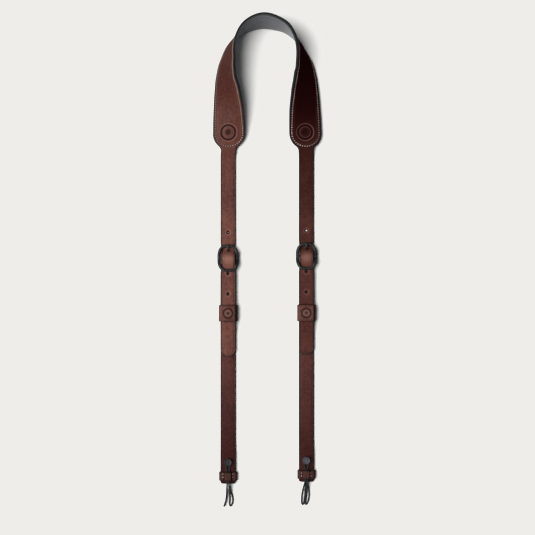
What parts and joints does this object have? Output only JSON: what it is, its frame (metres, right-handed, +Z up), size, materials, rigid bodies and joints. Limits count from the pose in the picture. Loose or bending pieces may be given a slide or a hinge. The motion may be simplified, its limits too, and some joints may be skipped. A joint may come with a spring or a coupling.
{
  "type": "camera neck strap",
  "caption": "Leather camera neck strap laid out with a wide lined pad, buckled lower straps, keepers and cord loops.",
  "frame": {"origin": "on the table, under the middle of the strap's box without its two cords", "axes": "+Z up from the table; +Y from the cord ends towards the top of the neck pad; +X across, from the left strap to the right strap"},
  "size_m": [0.1138, 0.5133, 0.0342],
  "materials": {
    "leather": "dark brown vegetable-tanned leather with a soft sheen",
    "lining": "matte grey suede",
    "metal": "satin black",
    "stud": "matte dark grey",
    "cord": "matte black braid"
  },
  "bodies": {
    "root": {"strap_leather": "leather", "pad_lining": "lining", "buckle_left": "metal", "buckle_right": "metal", "prong_left": "metal", "prong_right": "metal", "lower_strap_left": "leather", "lower_strap_right": "leather", "keeper_left": "leather", "keeper_right": "leather", "button_stud_left": "stud", "button_stud_right": "stud", "end_band_left": "leather", "end_band_right": "leather", "cord_left": "cord", "cord_right": "cord"}
  },
  "joints": []
}
